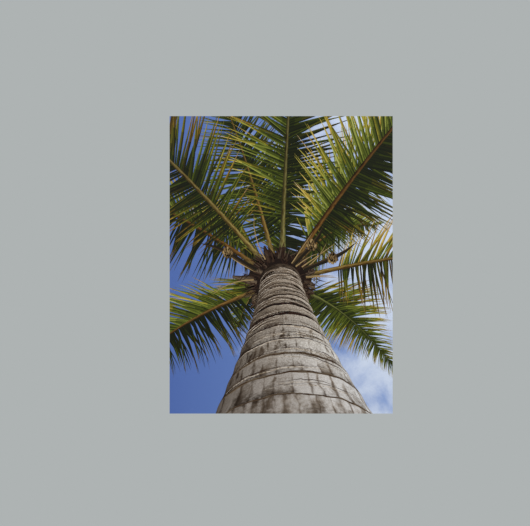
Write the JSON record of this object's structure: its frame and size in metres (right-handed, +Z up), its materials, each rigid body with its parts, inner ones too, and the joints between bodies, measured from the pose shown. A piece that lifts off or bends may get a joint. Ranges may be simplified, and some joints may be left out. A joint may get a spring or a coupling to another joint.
{
  "type": "wall print",
  "caption": "Flat self-adhesive vinyl wall print, upright and frameless, printed edge to edge with a coconut palm looked up at from the foot of its trunk.",
  "frame": {"origin": "centre of the adhesive face, which lies against the wall", "axes": "+Z up the sheet, +X to the right as the picture is seen, +Y into the wall, so the printed face looks towards -Y"},
  "size_m": [0.4572, 0.0004, 0.6096],
  "materials": {
    "adhesive": "gloss",
    "vinyl_film": "satin",
    "ink_sky": "satin",
    "ink_leaf_dark": "satin",
    "ink_leaf_bright": "satin",
    "ink_rib_yellow": "satin",
    "ink_rib_brown": "satin",
    "ink_bark": "satin",
    "ink_bark_scar": "satin",
    "ink_fibre": "satin",
    "ink_nut": "satin"
  },
  "bodies": {
    "root": {"adhesive_layer": "adhesive", "vinyl_film": "vinyl_film", "ink_sky": "ink_sky", "ink_frond_01": "ink_leaf_dark", "ink_frond_02": "ink_leaf_bright", "ink_frond_03": "ink_leaf_dark", "ink_frond_04": "ink_leaf_bright", "ink_frond_05": "ink_leaf_dark", "ink_frond_06": "ink_leaf_bright", "ink_frond_07": "ink_leaf_dark", "ink_frond_08": "ink_leaf_bright", "ink_frond_09": "ink_leaf_dark", "ink_frond_10": "ink_leaf_bright", "ink_frond_11": "ink_leaf_dark", "ink_frond_12": "ink_leaf_bright", "ink_frond_14": "ink_leaf_bright", "ink_rib_01": "ink_rib_yellow", "ink_rib_02": "ink_rib_brown", "ink_rib_03": "ink_rib_brown", "ink_rib_04": "ink_rib_yellow", "ink_rib_05": "ink_rib_brown", "ink_rib_06": "ink_rib_brown", "ink_rib_07": "ink_rib_yellow", "ink_rib_08": "ink_rib_brown", "ink_rib_09": "ink_rib_brown", "ink_rib_10": "ink_rib_yellow", "ink_rib_11": "ink_rib_brown", "ink_rib_12": "ink_rib_brown", "ink_rib_14": "ink_rib_brown", "ink_trunk": "ink_bark", "ink_ring_01": "ink_bark_scar", "ink_ring_02": "ink_bark_scar", "ink_ring_03": "ink_bark_scar", "ink_ring_04": "ink_bark_scar", "ink_ring_05": "ink_bark_scar", "ink_ring_06": "ink_bark_scar", "ink_ring_07": "ink_bark_scar", "ink_ring_08": "ink_bark_scar", "ink_ring_09": "ink_bark_scar", "ink_ring_10": "ink_bark_scar", "ink_ring_11": "ink_bark_scar", "ink_ring_12": "ink_bark_scar", "ink_collar": "ink_fibre", "ink_nut_01": "ink_nut", "ink_nut_02": "ink_nut", "ink_nut_03": "ink_nut"}
  },
  "joints": []
}
